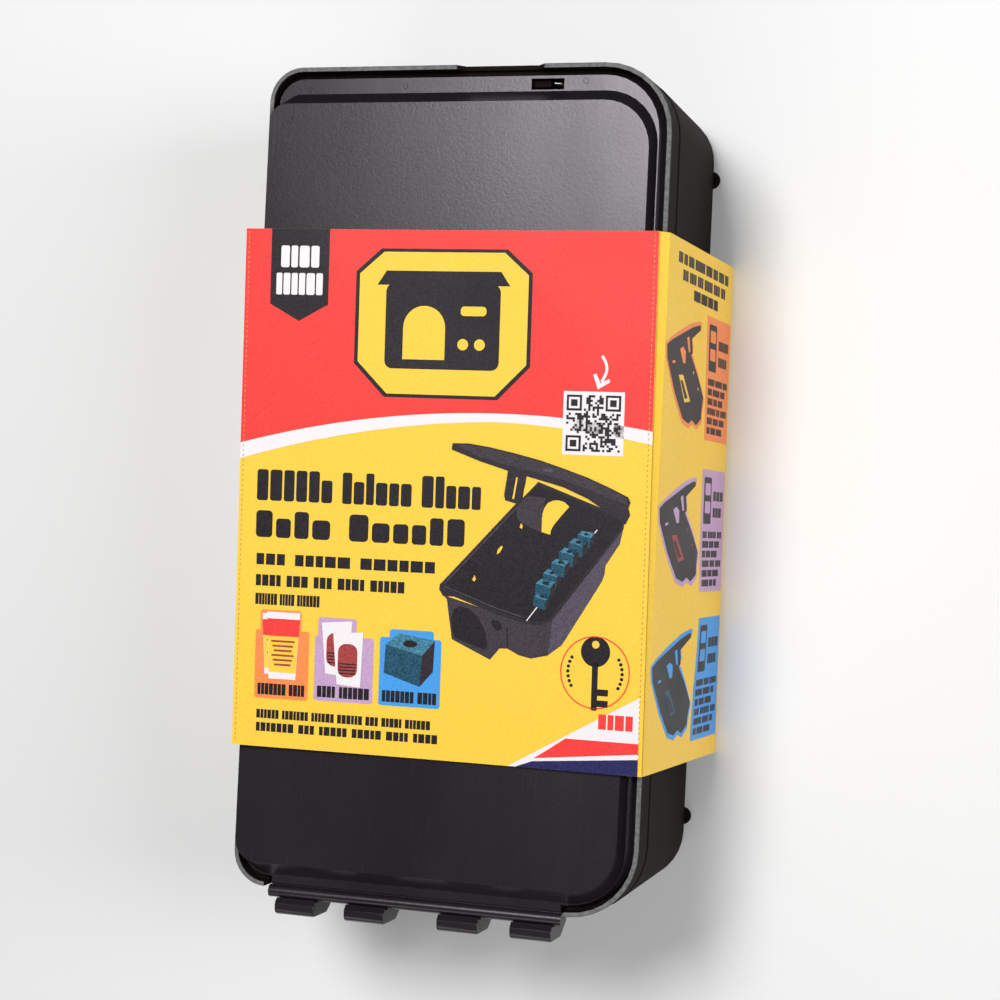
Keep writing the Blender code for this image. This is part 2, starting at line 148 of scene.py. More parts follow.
def spread(tree, value, low, high, start=0.3, end=0.7):
    """Map a noise value between start and end to the range from low to high."""
    node = add_node(tree, "ShaderNodeMapRange")
    node.inputs["From Min"].default_value = start
    node.inputs["From Max"].default_value = end
    node.inputs["To Min"].default_value = low
    node.inputs["To Max"].default_value = high
    tree.links.new(value, node.inputs["Value"])
    return node.outputs["Result"]


def blend_colours(tree, amount, first, second):
    """Mix two colours, each given as a value or as a socket."""
    node = add_node(tree, "ShaderNodeMix", data_type="RGBA")
    tree.links.new(amount, node.inputs["Factor"])
    for socket, colour in ((node.inputs[6], first), (node.inputs[7], second)):
        if isinstance(colour, bpy.types.NodeSocket):
            tree.links.new(colour, socket)
        else:
            socket.default_value = (*colour, 1.0)
    return node.outputs[2]


def add_bump(tree, shader, layers):
    """Chain bumps of (height socket, strength, depth in metres) into the shader's normal."""
    normal = None
    for height, strength, depth in layers:
        node = add_node(tree, "ShaderNodeBump", strength=strength, distance=depth)
        tree.links.new(height, node.inputs["Height"])
        if normal:
            tree.links.new(normal, node.inputs["Normal"])
        normal = node.outputs["Normal"]
    tree.links.new(normal, shader.inputs["Normal"])


def moulded_plastic(name, colour, roughness, grain=1.0, gloss=0.5, rim=False):
    """Black polypropylene: fine spark-eroded grain, flow marks, dust and a few hairline scratches.

    With rim, the tray's top edge is painted lighter, a painted highlight, and made smoother.
    """
    material, tree, shader = new_material(name, colour, roughness)
    fine = noise(tree, 2600, 2)
    coarse = noise(tree, 900, 3)
    flow = noise(tree, 18, 4, (1.0, 0.35, 1.0))
    scratches = noise(tree, 240, 2, (9.0, 0.25, 1.0))
    scratch_mask = spread(tree, scratches, 0.0, 1.0, 0.66, 0.74)
    dust = spread(tree, noise(tree, 5200, 1), 0.0, 1.0, 0.72, 0.8)

    lighter = tuple(value * 1.4 + 0.002 for value in colour)
    body = blend_colours(tree, spread(tree, flow, 0.0, 0.55), colour, lighter)
    scuffed = blend_colours(tree, scratch_mask, body, tuple(v * 1.5 + 0.004 for v in colour))
    dust_and_highlight = blend_colours(tree, dust, scuffed, tuple(v * 2.6 + 0.02 for v in colour))
    rough = spread(tree, flow, roughness - 0.05, roughness + 0.07)
    if rim:
        # The tray's top edge: a painted highlight in the colour, and a smoother finish
        painted_highlight_and_polish = rim_highlight_and_polish(tree, coarse)
        dust_and_highlight = blend_colours(tree, painted_highlight_and_polish, dust_and_highlight, RIM_HIGHLIGHT_PAINT)
        rough = spread(tree, painted_highlight_and_polish, roughness, 0.3, 0.0, 1.0)
    tree.links.new(dust_and_highlight, shader.inputs["Base Color"])
    tree.links.new(rough, shader.inputs["Roughness"])
    shader.inputs["Specular IOR Level"].default_value = gloss
    shader.inputs["Specular Tint"].default_value = PLASTIC_SHEEN
    add_bump(tree, shader, [(flow, 0.15, 0.0006), (coarse, 0.22 * grain, 0.00012),
                            (fine, 0.3 * grain, 0.00006), (scratch_mask, 0.1, 0.00005)])
    return material


def rim_highlight_and_polish(tree, grain):
    """A mask that is 1 on the tray's top edge, broken up by the grain; it places the painted highlight
    and the smoother finish there.
    """
    coords = add_node(tree, "ShaderNodeTexCoord")
    parts = add_node(tree, "ShaderNodeSeparateXYZ")
    tree.links.new(coords.outputs["Object"], parts.inputs["Vector"])
    height = spread(tree, parts.outputs["Z"], 0.0, 1.0, RIM_Z - 0.6 * MM, RIM_Z - 0.1 * MM)
    patchy = spread(tree, grain, 0.55, 1.0)
    both = add_node(tree, "ShaderNodeMath", operation="MULTIPLY")
    tree.links.new(height, both.inputs[0])
    tree.links.new(patchy, both.inputs[1])
    return both.outputs["Value"]


def zinc_steel():
    """Bright rod, with fine lines along it from drawing."""
    material, tree, shader = new_material("bright_steel", (0.6, 0.6, 0.58), 0.28, 1.0)
    drawn = noise(tree, 900, 3, (1.0, 0.03, 1.0))
    tree.links.new(spread(tree, drawn, 0.2, 0.42), shader.inputs["Roughness"])
    tint = blend_colours(tree, noise(tree, 60), (0.66, 0.66, 0.63), (0.5, 0.5, 0.49))
    tree.links.new(tint, shader.inputs["Base Color"])
    add_bump(tree, shader, [(drawn, 0.12, 0.00005)])
    return material


def printed_card(name, colour, speckle=0.12):
    """Ink on white-lined card: a slight mottle, paper fibre and a thin varnish."""
    material, tree, shader = new_material(name, colour, 0.42)
    mottle = noise(tree, 1700, 2)
    cloud = noise(tree, 22, 3)
    fibre = noise(tree, 2200, 3, (1.0, 0.4, 1.0))
    lighter = tuple(min(1.0, value * (1 + speckle) + 0.02 * speckle) for value in colour)
    darker = tuple(value * (1 - speckle) for value in colour)
    grainy = blend_colours(tree, spread(tree, mottle, 0.0, 1.0, 0.35, 0.65), darker, lighter)
    soft = blend_colours(tree, spread(tree, cloud, 0.0, 0.4), grainy, colour)
    tree.links.new(soft, shader.inputs["Base Color"])
    tree.links.new(spread(tree, cloud, 0.38, 0.5), shader.inputs["Roughness"])
    shader.inputs["Specular IOR Level"].default_value = 0.16
    add_bump(tree, shader, [(cloud, 0.2, 0.0008), (fibre, 0.12, 0.00005)])
    return material


def bare_card():
    """The card's unprinted back and cut edges: grey-white board with short fibres."""
    material, tree, shader = new_material("card_back", CARD_BACK, 0.85)
    fibre = noise(tree, 1500, 4, (1.0, 0.3, 1.0))
    tone = blend_colours(tree, spread(tree, fibre, 0.0, 1.0), CARD_BACK, CARD_FIBRE)
    tree.links.new(tone, shader.inputs["Base Color"])
    add_bump(tree, shader, [(fibre, 0.3, 0.00008)])
    return material


BLACK_PLASTIC = moulded_plastic("grained_black_plastic", (0.012, 0.0095, 0.012), 0.31, gloss=0.42)
# The tray's top edge carries a painted highlight
WALL_PLASTIC = moulded_plastic("tray_black_plastic", (0.009, 0.006, 0.005), 0.6, gloss=0.02,
                               rim=True)
KEY_PLASTIC = moulded_plastic("key_plastic", (0.02, 0.02, 0.023), 0.36, 0.5)
STEEL = zinc_steel()
BACK = bare_card()
INKS = {
    "yellow": printed_card("ink_yellow", INK_YELLOW, 0.07),
    "red": printed_card("ink_red", INK_RED, 0.13),
    "white": printed_card("ink_white", INK_WHITE, 0.03),
    "black": printed_card("ink_black", INK_BLACK, 0.4),
    "orange": printed_card("ink_orange", INK_ORANGE),
    "purple": printed_card("ink_purple", INK_PURPLE),
    "blue": printed_card("ink_blue", INK_BLUE),
    "navy": printed_card("ink_navy", INK_NAVY, 0.3),
    "teal": printed_card("ink_teal", INK_TEAL, 0.5),
    "teal_light": printed_card("ink_teal_light", INK_TEAL_LIGHT, 0.5),
    "brick": printed_card("ink_brick", INK_BRICK, 0.3),
    "mauve": printed_card("ink_mauve", INK_MAUVE, 0.3),
    "slate": printed_card("ink_slate", INK_SLATE, 0.3),
    "smoke": printed_card("ink_smoke", INK_SMOKE, 0.3),
    "tan": printed_card("ink_tan", INK_TAN),
}
INK_NAMES = list(INKS)


# --- CAD nodes -------------------------------------------------------------------------------

def finish_node(name, material, bevel=0.0, segments=2):
    """Give a CAD node its material, smooth shading and slightly rounded edges."""
    obj = NODES[name]
    obj.data.materials.clear()
    obj.data.materials.append(material)
    for polygon in obj.data.polygons:
        polygon.material_index = 0
        polygon.use_smooth = True
    weld = obj.modifiers.new("Weld", "WELD")
    weld.merge_threshold = 0.00001
    if bevel:
        rounding = obj.modifiers.new("Rounding", "BEVEL")
        rounding.width = bevel
        rounding.segments = segments
        rounding.limit_method = "ANGLE"
        rounding.angle_limit = math.radians(30)
        rounding.use_clamp_overlap = True
    normals = obj.modifiers.new("Normals", "WEIGHTED_NORMAL")
    normals.keep_sharp = False
    normals.weight = 80


def finish_plastic():
    finish_node("tray", WALL_PLASTIC, 0.35 * MM)
    finish_node("lid", BLACK_PLASTIC, 0.6 * MM, 3)
    for name in ("tunnel_comb", "lock_tongue", "partition_lock_end", "partition_hinge_end",
                 "rod_cradle_lock_end", "rod_cradle_hinge_end"):
        finish_node(name, WALL_PLASTIC, 0.2 * MM)
    for index in range(1, 5):
        finish_node(f"hinge_hook_{index}", BLACK_PLASTIC, 0.35 * MM)
        finish_node(f"foot_{index}", WALL_PLASTIC)
    for end in ("lock_end", "hinge_end"):
        finish_node(f"entry_lip_{end}", WALL_PLASTIC)
        finish_node(f"floor_pin_{end}", WALL_PLASTIC)
    finish_node("key", KEY_PLASTIC, 0.4 * MM)
    finish_node("bait_rod", STEEL)


def finish_card(name, inward):
    """Print the outer face of a sleeve node yellow; its inner face and cut edges stay bare.

    The folds are rounded by smooth shading, which stops at the card's edges.
    """
    obj = NODES[name]
    obj.data.materials.clear()
    obj.data.materials.append(INKS["yellow"])
    obj.data.materials.append(BACK)
    for polygon in obj.data.polygons:
        cut_edge = abs(polygon.normal.y) > 0.7
        polygon.material_index = 1 if cut_edge or inward(polygon) else 0
        polygon.use_smooth = not cut_edge
    obj.data.set_sharp_from_angle(angle=math.radians(60))


def inside_wrap(polygon):
    """True on the faces of the wrap that look towards the box's middle."""
    centre = Vector((0.0, 0.0, RIM_Z / 2))
    return (polygon.center - centre).dot(polygon.normal) < 0


# --- Print -----------------------------------------------------------------------------------

def surface_tree(name):
    obj = NODES[name]
    vertices = [vertex.co.copy() for vertex in obj.data.vertices]
    return BVHTree.FromPolygons(vertices, [list(p.vertices) for p in obj.data.polygons])


def end_rows(name, axis):
    """The lowest and highest place along an axis at the node's two ends."""
    vertices = [vertex.co for vertex in NODES[name].data.vertices]
    low_y = min(v.y for v in vertices)
    high_y = max(v.y for v in vertices)
    rows = []
    for y in (low_y, high_y):
        row = [v[axis] for v in vertices if abs(v.y - y) < 0.3 * MM]
        rows.append((min(row), max(row)))
    return low_y, high_y, rows


def lerp(first, second, share):
    return first + (second - first) * share


class Surface:
    """A printed panel of the sleeve. It places points given in millimetres on the card.

    The direction is the way a ray travels to meet the panel's printed face.
    """

    def __init__(self, node, body, width, direction, lap=0.0):
        self.body = body
        self.width = width
        self.lap = lap
        self.direction = Vector(direction)
        self.tree = surface_tree(node)
        self.low_y, self.high_y, self.rows = end_rows(node, 0 if direction[2] else 2)

    def place(self, across, down, lift):
        """The place on the card of a point of the print, lifted off the card by a distance."""
        share = down / SLEEVE_LENGTH
        y = lerp(self.low_y + END_INSET * MM, self.high_y - END_INSET * MM, share)
        low = lerp(self.rows[0][0], self.rows[1][0], share)
        high = lerp(self.rows[0][1], self.rows[1][1], share)
        inset = EDGE_INSET * MM
        share_across = (across + self.lap) / (self.width + 2 * self.lap)
        value = lerp(high - inset, low + inset, share_across)
        if self.direction.z:
            start = Vector((value, y, RAY_START))
        else:
            start = Vector((-RAY_START * self.direction.x, y, value))
        hit, normal, _, _ = self.tree.ray_cast(start, self.direction)
        if normal.dot(self.direction) > 0:
            normal = -normal
        return hit + normal * (lift * MM)


def circle(cx, cy, radius, steps=32, start=0.0, sweep=360.0):
    count = steps if sweep >= 360 else steps + 1
    angles = [math.radians(start + sweep * i / steps) for i in range(count)]
    return [(cx + radius * math.cos(a), cy + radius * math.sin(a)) for a in angles]


def rounded(x0, x1, y0, y1, radius=0.6):
    points = []
    for cx, cy, start in ((x1 - radius, y1 - radius, 0), (x0 + radius, y1 - radius, 90),
                          (x0 + radius, y0 + radius, 180), (x1 - radius, y0 + radius, 270)):
        points += circle(cx, cy, radius, 4, start, 90)
    return points


def block(x0, x1, y0, y1):
    return [(x0, y0), (x1, y0), (x1, y1), (x0, y1)]


def stroke(points, width):
    """The outline of a line of the given width through the points."""
    left = []
    right = []
    for i, point in enumerate(points):
        before = Vector(points[max(i - 1, 0)])
        after = Vector(points[min(i + 1, len(points) - 1)])
        along = (after - before).normalized()
        side = Vector((-along.y, along.x)) * width / 2
        left.append(tuple(Vector(point) + side))
        right.append(tuple(Vector(point) - side))
    return left + right[::-1]


def grow(points, amount):
    """Push an outline outwards from its middle, for the coloured edge behind a picture."""
    cx = sum(p[0] for p in points) / len(points)
    cy = sum(p[1] for p in points) / len(points)
    grown = []
    for x, y in points:
        reach = math.hypot(x - cx, y - cy)
        grown.append((x + (x - cx) / reach * amount, y + (y - cy) / reach * amount))
    return grown


def moved(points, dx, dy):
    return [(dx + x, dy + y) for x, y in points]


class Print:
    """A printed motif: thin closed shapes that follow the card.

    Shapes that overlap lie on different layers, and the higher layer hides the lower.
    """

    def __init__(self, name, surface, base_layer=0):
        self.name = name
        self.surface = surface
        self.base_layer = base_layer
        self.shapes = []

    def add(self, points, ink, layer=0):
        self.shapes.append((points, ink, self.base_layer + layer))

    def ring(self, cx, cy, radius, width, ink):
        for start in (0, 180):
            outer = circle(cx, cy, radius + width / 2, 24, start, 180)
            inner = circle(cx, cy, radius - width / 2, 24, start, 180)
            self.add(outer + inner[::-1], ink)

    def build(self):
        """Make one piece of all the shapes, and let it ride with the card."""
        mesh = bpy.data.meshes.new(self.name)
        used = sorted({ink for _, ink, _ in self.shapes}, key=INK_NAMES.index)
        whole = bmesh.new()
        for points, ink, layer in self.shapes:
            self.add_shape(whole, points, used.index(ink), PRINT_LIFT + layer * LAYER_STEP)
        bmesh.ops.recalc_face_normals(whole, faces=whole.faces)
        whole.to_mesh(mesh)
        whole.free()
        for ink in used:
            mesh.materials.append(INKS[ink])
        obj = bpy.data.objects.new(self.name, mesh)
        bpy.context.scene.collection.objects.link(obj)
        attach(obj, self.surface.body)

    def add_shape(self, whole, points, index, lift):
        """Cut a flat shape into a grid, lay it on the card and close it with a back and sides."""
        flat = bmesh.new()
        face = flat.faces.new([flat.verts.new((x, y, 0)) for x, y in points])
        face.normal_update()
        bmesh.ops.triangulate(flat, faces=[face])
        for axis in (0, 1):
            low = min(p[axis] for p in points)
            high = max(p[axis] for p in points)
            cells = int((high - low) / PRINT_GRID)
            for i in range(1, cells + 1):
                line = Vector((0, 0, 0))
                line[axis] = low + i * (high - low) / (cells + 1)
                normal = Vector((0, 0, 0))
                normal[axis] = 1
                geometry = flat.verts[:] + flat.edges[:] + flat.faces[:]
                bmesh.ops.bisect_plane(flat, geom=geometry, plane_co=line, plane_no=normal)
        bmesh.ops.remove_doubles(flat, verts=flat.verts, dist=0.0005)
        flat.verts.ensure_lookup_table()
        upper = [whole.verts.new(self.surface.place(v.co.x, v.co.y, lift)) for v in flat.verts]
        lower = [whole.verts.new(self.surface.place(v.co.x, v.co.y, lift - PRINT_THICKNESS))
                 for v in flat.verts]
        flat.verts.index_update()
        for face in flat.faces:
            corners = [v.index for v in face.verts]
            whole.faces.new([upper[i] for i in corners]).material_index = index
            whole.faces.new([lower[i] for i in reversed(corners)]).material_index = index
        for edge in flat.edges:
            if edge.is_boundary:
                i, j = (v.index for v in edge.verts)
                whole.faces.new((upper[i], upper[j], lower[j], lower[i])).material_index = index
        flat.free()


def curve_down(across):
    """How far down the white band's upper edge lies, along a shallow curve."""
    return CURVE_TOP + 0.00162 * (across - CURVE_MIDDLE) ** 2


def band_width(across):
    """The white band is narrowest at the curve's middle."""
    return 2.6 + 0.028 * abs(across - CURVE_MIDDLE)


def print_fields(front):
    """The red field at the top and the white band under it; the card itself is yellow."""
    field = Print("print_red_field", front)
    start = -FOLD_LAP
    end = PANEL_WIDTH + FOLD_LAP
    steps = [lerp(start, end, i / 24) for i in range(25)]
    field.add([(a, curve_down(a)) for a in steps] + [(end, 0), (start, 0)], "red")
    lower = [(a, curve_down(a) + band_width(a)) for a in reversed(steps)]
    field.add([(a, curve_down(a) - 0.05) for a in steps] + lower, "white", 1)
    field.build()


def greek_line(target, left, right, down, height, words, ink="black", layer=0, seed=1, caps=True):
    """A line of placeholder text: words of plain upright blocks, which stand for no letters."""
    rng = random.Random(seed)
    blocks = []
    for word in range(words):
        for letter in range(rng.randint(3, 7)):
            tall = caps or letter == 0 or rng.random() < 0.3
            blocks.append((rng.uniform(0.36, 0.62), 1.0 if tall else 0.72, letter == 0 and word > 0))
    total = sum(width + LETTER_GAP + (WORD_GAP if first else 0) for width, _, first in blocks)
    scale = (right - left) / (total - LETTER_GAP)
    x = left
    for width, tall, first in blocks:
        x += WORD_GAP * scale if first else 0.0
        top = down + height * (1 - tall)
        wide = width * scale
        if height > 5:
            shape = rounded(x, x + wide, top, down + height, 0.22 * min(wide, height))
        else:
            shape = block(x, x + wide, top, down + height)
        target.add(shape, ink, layer)
        x += wide + LETTER_GAP * scale


def print_pennant(front):
    """The dark pennant that hangs from the top edge, with two short words."""
    pennant = Print("print_pennant", front, 1)
    pennant.add([(7.6, 0.0), (27.4, 0.0), (27.4, 24.2), (17.6, 29.6), (7.6, 24.2)], "black")
    greek_line(pennant, 11.0, 24.0, 5.4, 7.0, 1, "white", 1, 3)
    greek_line(pennant, 9.6, 25.4, 14.2, 7.0, 1, "white", 1, 12)
    pennant.build()


def print_emblem(front):
    """A plain badge with a little arched box, in place of the pack's mark."""
    badge = Print("print_badge", front, 1)
    outline = [(38, 14), (46, 7), (86, 7), (94, 14), (94, 42), (84, 52), (48, 52), (38, 42)]
    badge.add(grow(outline, 1.4), "black")
    badge.add(outline, "yellow", 1)
    badge.add(rounded(47, 85, 17, 44, 2.5), "black", 2)
    badge.add([(44, 17.5), (47, 13), (85, 13), (88, 17.5)], "black", 3)
    arch = [(53, 41)] + circle(60, 31, 7, 16, 180, 180) + [(67, 41)]
    badge.add(arch, "yellow", 4)
    for x in (73, 78.5):
        badge.add(circle(x, 36, 1.8, 16), "yellow", 4)
    badge.add(rounded(72, 80.5, 24, 27, 1.2), "yellow", 4)
    badge.build()


def in_finder(col, row, finders):
    """True in the three corner squares of the printed code and in the cells next to them."""
    return any(fc - 1 <= col <= fc + FINDER_CELLS and fr - 1 <= row <= fr + FINDER_CELLS
               for fc, fr in finders)


def dark_runs(cells):
    """The first and last column of each run of dark cells in a row."""
    start = None
    for col, value in enumerate(cells + [False]):
        if value and start is None:
            start = col
        if not value and start is not None:
            yield start, col
            start = None


def print_code(front):
    """A square of random checks, which stands for a printed code and holds no data."""
    code = Print("print_check_square", front, 1)
    code.add(block(CODE_LEFT, CODE_LEFT + CODE_SIZE, CODE_TOP, CODE_TOP + CODE_SIZE), "white")
    cell = (CODE_SIZE - 2 * CODE_MARGIN) / CODE_CELLS
    left = CODE_LEFT + CODE_MARGIN
    top = CODE_TOP + CODE_MARGIN
    rng = random.Random(11)
    far = CODE_CELLS - FINDER_CELLS
    finders = ((0, 0), (far, 0), (0, far))
    for row in range(CODE_CELLS):
        dark = [rng.random() < 0.5 and not in_finder(col, row, finders) for col in range(CODE_CELLS)]
        for start, end in dark_runs(dark):
            x0 = left + start * cell
            y0 = top + row * cell
            code.add(block(x0, x0 + (end - start) * cell, y0, y0 + cell), "black", 3)
    for fc, fr in finders:
        x0 = left + fc * cell
        y0 = top + fr * cell
        reach = FINDER_CELLS * cell
        for inset, ink, layer in ((0, "black", 3), (1, "white", 4), (2, "black", 5)):
            side = inset * cell
            code.add(block(x0 + side, x0 + reach - side, y0 + side, y0 + reach - side), ink, layer)
    arc = [(118.5 + 1.6 * math.sin(math.pi * t / 8), 38.5 + 8.0 * t / 8) for t in range(9)]
    code.add(stroke(arc, 0.9), "white")
    code.add([(115.8, 44.4), (116.8, 44.0), (118.2, 46.9), (120.9, 45.6), (121.3, 46.6),
              (117.4, 48.9)], "white", 1)
    code.build()


def print_headings(front):
    """The two large headings, and the small lines of text under them and at the foot."""
    text = Print("print_headings", front)
    greek_line(text, 5.0, 80.5, 77.6, 10.0, 3, seed=24, caps=False)
    greek_line(text, 5.0, 75.5, 90.8, 8.6, 2, seed=8, caps=False)
    greek_line(text, 5.5, 66.0, 104.6, 3.6, 3, seed=2)
    greek_line(text, 5.5, 56.0, 111.4, 3.6, 5, seed=4)
    greek_line(text, 5.5, 27.5, 117.4, 3.6, 3, seed=6)
    greek_line(text, 7.0, 66.0, 154.6, 2.8, 7, seed=9)
    greek_line(text, 7.0, 68.5, 158.8, 2.8, 6, seed=10)
    text.build()


def sachet(target, left, top, top_width, width, height, layer):
    """A sealed packet, wider at its top, with white crimped ends and a label."""
    middle = left + top_width / 2

    def band(start, end, inset, ink, step):
        edges = []
        for share in (start, end):
            half = lerp(top_width, width, share) / 2 - inset
            edges.append((middle - half, middle + half, top + height * share))
        upper, lower = edges
        target.add([(upper[0], upper[2]), (upper[1], upper[2]), (lower[1], lower[2]),
                    (lower[0], lower[2])], ink, layer + step)

    band(0.0, 1.0, 0.0, "white", 0)
    band(0.1, 0.36, 0.0, "red", 1)
    band(0.36, 0.9, 0.1, "yellow", 1)
    for line in range(6):
        start = 0.42 + 0.07 * line
        band(start, start + 0.03, 1.2 + 0.4 * (line % 3), "brick", 2)


def wrapped_bait(target, left, top, layer):
    """A soft bait in its white paper wrapper."""
    target.add([(left, top + 0.9), (left + 10.2, top), (left + 9.6, top + 17.6),
                (left + 1.6, top + 17.0)], "white", layer)
    target.add(rounded(left + 1.8, left + 8.4, top + 4.0, top + 14.6, 2.6), "brick", layer + 1)
    for line in range(4):
        down = top + 10.2 + 1.0 * line
        target.add(block(left + 2.2, left + 8.0, down, down + 0.4), "black", layer + 2)


def bait_block(target, cx, cy, size, layer=1):
    """A cube of wax bait, seen from a corner, with its lit top and its hole."""
    top = [(cx - size, cy - 0.55 * size), (cx - 0.45 * size, cy - size), (cx + size, cy - 0.8 * size),
           (cx + 0.5 * size, cy - 0.2 * size)]
    side = [(cx - size, cy - 0.55 * size), (cx + 0.5 * size, cy - 0.2 * size),
            (cx + 0.42 * size, cy + size), (cx - 1.05 * size, cy + 0.55 * size)]
    flank = [(cx + 0.5 * size, cy - 0.2 * size), (cx + size, cy - 0.8 * size),
             (cx + 0.95 * size, cy + 0.4 * size), (cx + 0.42 * size, cy + size)]
    target.add(top, "teal_light", layer)
    target.add(side, "teal", layer)
    target.add(flank, "smoke", layer)
    hole = [(x, cy - 0.62 * size + (y - cy) * 0.45) for x, y in circle(cx, cy, 0.3 * size, 14)]
    target.add(hole, "black", layer + 1)


def print_tiles(front):
    """The three coloured tiles, each with a picture of a bait that stands out above it."""
    tiles = Print("print_bait_tiles", front)
    for left, right, top, bottom, ink, seed in ((6.0, 24.4, 129.0, 151.0, "orange", 5),
                                                (26.4, 46.4, 129.8, 150.6, "purple", 26),
                                                (48.4, 69.0, 129.0, 150.6, "blue", 48)):
        tiles.add(rounded(left, right, top, bottom, 0.9), ink)
        greek_line(tiles, left + 1.2, right - 1.2, bottom - 4.8, 3.6, 2, layer=2, seed=seed)
    for left, right, top, bottom, ink in ((7.6, 21.6, 122.6, 130.0, "orange"),
                                          (27.4, 40.4, 124.0, 131.0, "purple"),
                                          (51.6, 66.4, 126.4, 130.0, "blue")):
        tiles.add(rounded(left, right, top, bottom, 0.9), ink, 1)
    sachet(tiles, 8.2, 123.8, 11.8, 9.4, 19.4, 2)
    sachet(tiles, 9.8, 123.2, 11.4, 9.2, 21.4, 5)
    wrapped_bait(tiles, 28.6, 124.8, 2)
    wrapped_bait(tiles, 32.6, 128.0, 5)
    bait_block(tiles, 58.6, 135.8, 8.2, 2)
    tiles.build()


def print_station(front):
    """A picture of the open station, with bait blocks on its rod."""
    picture = Print("print_open_station", front)

    def draw(points, ink, layer):
        picture.add(moved(points, STATION_LEFT, STATION_TOP), ink, layer)

    # Long wall, and the end wall with its doorway, lock window and seam
    draw([(61.1, 24.7), (60.0, 30.1), (55.7, 36.8), (55.5, 39.3), (54.7, 41.8), (42.5, 62.0),
          (38.0, 65.5), (35.0, 61.4), (38.4, 54.8)], "mauve", 0)
    draw([(3.0, 48.7), (21.3, 53.5), (35.3, 56.0), (39.1, 54.6), (38.0, 65.5), (32.6, 66.8),
          (28.5, 66.0), (24.8, 64.2), (22.2, 64.3), (19.2, 68.0), (6.4, 62.4), (4.3, 49.9)], "slate", 1)
    draw([(6.3, 58.8), (6.0, 55.3), (6.9, 52.9), (8.9, 51.9), (11.5, 52.5), (14.7, 54.9),
          (17.1, 58.8), (18.1, 62.7), (18.1, 64.6), (16.8, 64.9), (7.2, 61.8)], "black", 2)
    draw([(19.1, 56.2), (19.8, 55.5), (21.7, 55.8), (22.7, 57.1), (22.6, 58.5), (21.3, 58.9),
          (19.7, 57.7)], "black", 2)
    draw([(24.3, 57.7), (24.7, 57.7), (25.0, 64.2), (24.6, 64.2)], "black", 2)
    # Rim, dark inside, and the lit edge of the rim
    draw([(26.0, 19.2), (33.2, 12.0), (61.2, 21.9), (61.1, 25.3), (38.9, 54.8), (35.3, 56.4),
          (30.2, 56.1), (21.3, 53.9), (6.7, 49.0), (3.0, 49.0), (1.7, 47.0), (1.9, 45.4),
          (2.9, 44.4)], "smoke", 3)
    draw([(26.8, 19.6), (33.0, 13.0), (60.2, 22.4), (60.4, 25.0), (38.4, 53.8), (35.2, 55.3),
          (30.1, 55.0), (21.3, 52.6), (7.0, 47.7), (3.2, 45.8)], "black", 4)
    draw(stroke([(3.4, 45.9), (21.0, 51.9), (30.0, 54.3)], 0.25), "mauve", 5)
    draw(stroke([(3.4, 45.2), (26.4, 20.4)], 0.25), "mauve", 5)
    # Inner wall, the far doorway, and small holes that show the card's colour
    draw([(26.2, 20.4), (29.8, 16.5), (35.7, 16.9), (35.0, 21.2), (34.8, 27.5), (30.6, 26.1),
          (26.9, 24.2)], "slate", 5)
    draw([(34.8, 27.5), (34.8, 23.3), (35.0, 21.5), (35.6, 19.8), (36.6, 18.4), (38.3, 17.6),
          (40.2, 17.5), (42.0, 18.0), (43.5, 19.3), (40.8, 22.5), (38.6, 25.3), (37.8, 26.9),
          (37.6, 28.2)], "yellow", 6)
    draw([(27.6, 26.4), (28.0, 25.1), (28.6, 25.8), (28.4, 26.8)], "yellow", 6)
    draw([(20.4, 35.1), (20.7, 33.6), (21.9, 32.3), (22.3, 32.8), (21.3, 34.6)], "yellow", 6)
    draw([(12.6, 43.4), (13.3, 41.9), (13.8, 43.2), (13.2, 44.0)], "yellow", 6)
    # Rod and its blocks
    draw(stroke([(52.7, 26.0), (30.8, 55.2)], 0.3), "white", 5)
    for across, down, size in ((49.3, 29.2, 2.7), (46.8, 31.9, 3.0), (43.9, 35.0, 3.1),
                               (41.2, 38.4, 2.9), (38.7, 41.8, 3.0), (36.6, 45.2, 3.2),
                               (35.6, 49.0, 2.6)):
        bait_block(picture, STATION_LEFT + across, STATION_TOP + down, size, 6)

    # Comb, with the card's colour in its gaps, and the raised lid
    draw([(23.3, 8.4), (29.4, 9.8), (28.2, 17.2), (26.0, 19.0), (22.6, 18.2), (22.2, 16.5)],
         "smoke", 5)
    draw([(26.0, 10.9), (26.5, 10.9), (25.5, 17.7), (24.9, 17.6)], "yellow", 6)
    draw([(29.6, 11.5), (32.7, 12.6), (28.4, 17.1), (28.7, 14.5)], "yellow", 6)
    draw([(4.7, 1.0), (10.1, 0.9), (16.8, 1.8), (25.2, 3.4), (33.5, 5.3), (41.3, 7.6), (49.1, 10.1),
          (55.9, 12.8), (62.2, 15.6), (63.0, 17.1), (62.4, 18.9), (63.0, 21.1), (61.6, 24.0),
          (49.3, 16.6), (41.5, 13.4), (32.7, 11.2), (23.0, 8.9), (13.9, 6.3), (4.5, 3.0)],
         "smoke", 7)
    draw([(6.0, 1.6), (10.1, 1.3), (16.8, 2.2), (25.2, 3.8), (33.5, 5.7), (41.3, 8.0), (49.1, 10.6),
          (62.0, 16.0), (62.0, 18.0), (49.3, 13.8), (41.5, 11.2), (32.7, 9.2), (23.0, 7.2),
          (13.9, 5.0)], "slate", 8)
    draw([(34.4, 8.3), (35.6, 7.7), (37.4, 7.9), (38.3, 8.6), (37.2, 8.9), (35.4, 8.7)], "mauve", 9)
    picture.build()


